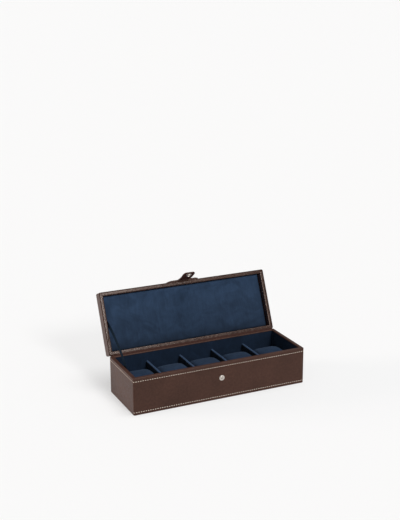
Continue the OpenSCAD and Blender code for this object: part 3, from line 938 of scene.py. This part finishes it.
class BOX_OT_tab(bpy.types.Operator):
    """Closing bar and tab: two layers of leather that curl a little"""

    bl_idname = "box.tab"
    bl_label = "Closing tab"

    def execute(self, context):
        self.bar(context)
        self.strap(context)
        return {"FINISHED"}

    def bar(self, context):
        size = context.scene.box_tab
        half_w, thick = size.bar_width / 2, size.bar_thickness
        low, high = size.bar_low, size.bar_high
        corner, edge, skive, thinned = 0.003, 0.0008, 0.0075, 0.55
        bm = block(
            (half_w, thick / 2, (high - low) / 2), (0, -HALF_D - thick / 2, (high + low) / 2)
        )
        upright = [e for e in bm.edges if abs(e.verts[0].co.y - e.verts[1].co.y) > thick / 2]
        bevelled(bm, upright, corner, 6)
        outer = [e for e in bm.edges if all(v.co.y < -HALF_D - thick * 0.9 for v in e.verts)]
        bevelled(bm, outer, edge, 4)
        for i in range(5):
            for side in (-1, 1):
                cut(bm, (side * (half_w - skive * i / 4), 0, 0), X)
        for v in bm.verts:
            near = 1 - min(1.0, (half_w - abs(v.co.x)) / skive)
            v.co.y = -HALF_D + (v.co.y + HALF_D) * (1 - thinned * near**1.5)
        finished(
            bm, "tab_bar", "lid", ["Tab leather"], ["closure_bar"], turn=lid_turn()
        )

    def strap(self, context):
        size = context.scene.box_tab
        turn, half_t, total = tab_turn(context), size.thickness / 2, size.reach + size.beyond
        outer, glue, rows = 0.001, 0.00002, 40
        for name, near, far, finish, slot, node in (
            ("tab_outer", 0.0, outer, "Tab leather", "leather", "tab_leather"),
            ("tab_inner", outer + glue, 2 * half_t, "Tab lining", "flesh_leather", "tab_lining"),
        ):
            bm = grid(1, 1)
            for v in bm.verts:
                v.co = Vector((v.co.x * size.width / 2, 0, (v.co.y - 1) / 2 * total))
            tip = [v for v in bm.verts if v.co.z < -total / 2]
            bevelled(bm, tip, size.tip, 10, "VERTICES")
            for i in range(1, rows):
                cut(bm, (0, 0, -total * i / rows), Z)
            for i in range(-5, 6):
                cut(bm, (i * size.width / 12, 0, 0), X)
            bmesh.ops.solidify(bm, geom=bm.faces[:], thickness=far - near)
            shift = near - min(v.co.y for v in bm.verts)
            bmesh.ops.translate(bm, vec=(0, shift, 0), verts=bm.verts)
            outwards(bm)
            for v in bm.verts:
                v.co = curled(v.co)
            piece = finished(bm, name, None, [finish], [node], turn=turn)
            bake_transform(piece)


def tab_turn(context):
    """Carries what is shaped as a hanging tab to its place on the open lid."""
    size = context.scene.box_tab
    root = Matrix.Translation((0, size.root_y, size.root_z))
    return lid_turn() @ root @ Matrix.Rotation(-size.angle, 4, "X")


def curled(co):
    """Bends a point of the hanging tab: in a little at its root, out towards its tip."""
    steps = 24
    along = max(0.0, -co.z)
    y, z = 0.0, max(0.0, co.z)
    for i in range(steps):
        angle = tab_slope(along * (i + 0.5) / steps)
        y -= math.sin(angle) * along / steps
        z -= math.cos(angle) * along / steps
    angle = tab_slope(along)
    return Vector((co.x, y + math.cos(angle) * co.y, z - math.sin(angle) * co.y))


def tab_slope(s):
    """The tab's slope at a length from its root, against the straight line to the stud."""
    bends = ((0.0, -5.4), (0.0123, -3.0), (0.024, 6.4), (0.033, 6.6), (0.0378, 20.0))
    for (start, low), (end, high) in zip(bends, bends[1:]):
        if s <= end:
            break
    return math.radians(low + (high - low) * (s - start) / (end - start))


class BOX_OT_metal(bpy.types.Operator):
    """Press stud on the tray, its cap and socket on the tab, and the hidden rivet"""

    bl_idname = "box.metal"
    bl_label = "Press stud"

    def execute(self, context):
        facing = Matrix.Rotation(math.pi / 2, 4, "X")
        low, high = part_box("snap_stud")
        height = (low.z + high.z) / 2
        at_stud = Matrix.Translation((0, -HALF_D, height)) @ facing
        stud = [
            *((0.0, -0.0012), (0.0019, -0.0012), (0.0019, 0.0), (0.0048, 0.0)),
            *rounded(0.0047, 0.0004, 0.0004, -80, 60, 6),
            *((0.0044, 0.00082), (0.0040, 0.00066), (0.0031, 0.00062), (0.0027, 0.00075)),
            *((0.0024, 0.0011), (0.0024, 0.0015)),
            *rounded(0.0022, 0.0017, 0.0003, -60, 80, 5),
            *((0.00215, 0.0019), (0.00205, 0.0017), (0.0020, -0.001), (0.0, -0.001)),
        ]
        self.turned("press_stud", stud, at_stud, "tray", "snap_stud", shaded_hollow=0.0021)
        size = context.scene.box_tab
        seat = Matrix.Translation(curled(Vector((0, 0, -size.reach))))
        slope = Matrix.Rotation(-tab_slope(size.reach), 4, "X")
        at_tab = tab_turn(context) @ seat @ slope @ facing
        wide, crown, dome = 0.0062, 0.0012, 0.00062
        cap = [
            *((0.0, -0.0004), (0.0058, -0.0004), (wide, 0.0)),
            *rounded(0.0059, 0.0003, 0.0003, 0, 75, 4),
            *((r, crown - (r / wide) ** 2 * dome) for r in (0.005, 0.004, 0.003, 0.002, 0.001)),
            (0.0, crown),
        ]
        self.turned("stud_cap", cap, at_tab, "tab", "snap_cap")
        under = Matrix.Translation((0, 0, -size.thickness))
        inward = at_tab @ under @ Matrix.Rotation(math.pi, 4, "X")
        socket = [
            *((0.0, 0.0), (0.0053, 0.0)),
            *rounded(0.0053, 0.0004, 0.0004, -60, 90, 5),
            *((0.0047, 0.00085), (0.0044, 0.0011)),
            *rounded(0.0039, 0.0015, 0.0006, 0, 90, 5),
            *((0.0035, 0.0020), (0.0033, 0.0017), (0.0032, 0.0006)),
            *((0.0016, 0.0005), (0.0, 0.0005)),
        ]
        self.turned("stud_socket", socket, inward, "tab", "snap_socket")
        dress(["stud_rivet"], "Nickel")
        return {"FINISHED"}

    def turned(self, name, outline, place, body, node, shaded_hollow=0.0):
        """Spins an outline of (radius, height); what lies within the hollow is painted dark, as
        shade in the hole.
        """
        bm = bmesh.new()
        verts = [bm.verts.new((r, 0, z)) for r, z in outline]
        edges = [bm.edges.new(pair) for pair in zip(verts, verts[1:])]
        turn = {"cent": (0, 0, 0), "axis": Z, "angle": math.tau, "steps": 56}
        bmesh.ops.spin(bm, geom=verts + edges, use_merge=True, **turn)
        bmesh.ops.remove_doubles(bm, verts=bm.verts, dist=1e-6)
        outwards(bm)
        # Painted shade: the faces in the hole take a dark finish.
        for face in bm.faces:
            if max(v.co.xy.length for v in face.verts) < shaded_hollow:
                face.material_index = 1
        finished(
            bm, name, body, ["Nickel", "Base sheet and painted hole shade"], [node], sharp=50, turn=place
        )


class BOX_OT_seams(bpy.types.Operator):
    """Stitching round the tray and the lid and along the closing bar"""

    bl_idname = "box.seams"
    bl_label = "Seams"

    def execute(self, context):
        scene = context.scene
        size, seams, bar = scene.box_case, scene.box_seams, scene.box_tab
        z, low, sink = BODY_H - seams.below_rim, seams.above_base, size.groove
        x, y = HALF_W - sink, HALF_D - sink
        left, far = HALF_W - size.corner, HALF_D - size.corner
        bulge = (x - left) * (1 - math.sqrt(0.5)) * math.sqrt(0.5)
        row = Seam()
        for level in (z, low):
            row.row((-left, -y, level), (left, -y, level), (0, -1, 0))
        for side in (-1, 1):
            for level in (z, low):
                row.row(
                    (side * (left + bulge), -y - bulge, level),
                    (side * (x + bulge), -far - bulge, level),
                    Vector((side, -1, 0)).normalized(),
                )
        row.finish("front_seams", "tray")
        row = Seam()
        row.row((x, -far, z), (x, far, z), (1, 0, 0))
        row.row((-x, far, z), (-x, -far, z), (-1, 0, 0))
        row.row((left, y, z), (-left, y, z), (0, 1, 0))
        row.finish("side_seams", "tray")
        half, face = bar.bar_width / 2 - 0.008, -HALF_D - bar.bar_thickness
        margin, inset, finer = 0.002, 0.006, 0.7
        row = Seam()
        for level in (bar.bar_low + margin, bar.bar_high - margin):
            row.row((-half, face, level), (half, face, level), (0, -1, 0), finer)
        w, d, top = HALF_W - inset, HALF_D - inset, lid_levels()[2] - sink
        corners = ((-w, -d), (w, -d), (w, d), (-w, d), (-w, -d))
        for start, end in zip(corners, corners[1:]):
            row.row((*start, top), (*end, top), (0, 0, 1))
        row.finish("lid_seams", "lid", lid_turn())
        return {"FINISHED"}


class BOX_OT_boards(bpy.types.Operator):
    """Finish of the boards inside the walls and of the sheet under the tray"""

    bl_idname = "box.boards"
    bl_label = "Boards and base"

    def execute(self, context):
        boards = [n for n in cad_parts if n.endswith("_board")]
        dress(sorted(boards), "Fibreboard")
        dress(["base_cover"], "Base sheet and painted hole shade")
        return {"FINISHED"}


class BOX_OT_stage(bpy.types.Operator):
    """Pale floor, soft studio light and the camera"""

    bl_idname = "box.stage"
    bl_label = "Stage"

    def execute(self, context):
        self.floor(context)
        self.lights(context)
        self.camera(context)
        return {"FINISHED"}

    def floor(self, context):
        floor = put(grid(8, 8, 40.0), "studio_floor")
        tint = (*context.scene.box_colours.floor, 1)
        sockets = {"Base_Color": tint, "Roughness": 0.9, "Specular_IOR_Level": 0.0}
        glow = {"Emission_Color": (1, 1, 1, 1), "Emission_Strength": 0.497}
        floor.data.materials.append(Finish("Studio floor", **sockets, **glow).material)

    def lights(self, context):
        world = bpy.data.worlds.new("Studio")
        world.use_nodes = True
        sky = world.node_tree.nodes["Background"]
        sky.inputs["Color"].default_value = (1.0, 1.0, 1.0, 1)
        sky.inputs["Strength"].default_value = 0.32
        context.scene.world = world
        white, warm = (1.0, 1.0, 1.0), (1.0, 0.88, 0.8)
        for name, strength, spread, azimuth, height, tint in (
            ("Overhead softbox", 1.75, 34, 60, 79, white),
            ("Front softbox", 1.4, 13, 8, 30, white),
            ("Side softbox", 2.9, 24, -115, 5, warm),
        ):
            light = bpy.data.lights.new(name, "SUN")
            light.energy = strength
            light.color = tint
            light.angle = math.radians(spread)
            source = -self.towards(-math.radians(azimuth), math.radians(height))
            linked(name, light).rotation_euler = source.to_track_quat("Z", "Y").to_euler()
        view = context.scene.view_settings
        view.view_transform = "Standard"
        view.look = "None"

    def towards(self, azimuth, height):
        """The way that a camera looks which stands to the front and above."""
        level = math.cos(height)
        return Vector((math.sin(azimuth) * level, math.cos(azimuth) * level, -math.sin(height)))

    def camera(self, context):
        azimuth, height, roll = 0.43545, 0.2843, -0.0057
        place = (-0.7472, -1.5747, 0.7544)
        ahead = self.towards(azimuth, height)
        right = Vector((math.cos(azimuth), -math.sin(azimuth), 0))
        up = right.cross(ahead)
        side = math.cos(roll) * right + math.sin(roll) * up
        rise = math.cos(roll) * up - math.sin(roll) * right
        lens = bpy.data.cameras.new("Camera")
        lens.lens = 70.33
        lens.clip_end = 200
        camera = linked("Camera", lens)
        axes = Matrix((side, rise, -ahead)).transposed().to_4x4()
        camera.matrix_world = Matrix.Translation(place) @ axes
        context.scene.camera = camera


OPERATORS = (
    BOX_OT_stage,
    BOX_OT_boards,
    BOX_OT_case,
    BOX_OT_lid,
    BOX_OT_linings,
    BOX_OT_cushions,
    BOX_OT_flexible,
    BOX_OT_tab,
    BOX_OT_metal,
    BOX_OT_seams,
)

GROUPS = {
    "box_case": CaseSizes,
    "box_seams": SeamSizes,
    "box_tab": TabSizes,
    "box_cushions": CushionSizes,
    "box_colours": Colours,
}


class BOX_PT_panel(bpy.types.Panel):
    """Lists the sizes, the colours and the pieces"""

    bl_label = "Display Box"
    bl_idname = "BOX_PT_panel"
    bl_space_type = "VIEW_3D"
    bl_region_type = "UI"
    bl_category = "Display Box"

    def draw(self, context):
        for operator in OPERATORS:
            self.layout.operator(operator.bl_idname)
        for group in GROUPS:
            held = getattr(context.scene, group)
            box = self.layout.box()
            for name in held.__annotations__:
                box.prop(held, name)


def register():
    for kind in (*GROUPS.values(), *OPERATORS, BOX_PT_panel):
        bpy.utils.register_class(kind)
    for name, group in GROUPS.items():
        setattr(bpy.types.Scene, name, PointerProperty(type=group))


def unregister():
    for name in GROUPS:
        delattr(bpy.types.Scene, name)
    for kind in (BOX_PT_panel, *reversed(OPERATORS), *GROUPS.values()):
        bpy.utils.unregister_class(kind)


def main():
    register()
    for operator in OPERATORS:
        group, name = operator.bl_idname.split(".")
        getattr(getattr(bpy.ops, group), name)()
    bpy.context.view_layer.update()


if __name__ == "__main__":
    main()
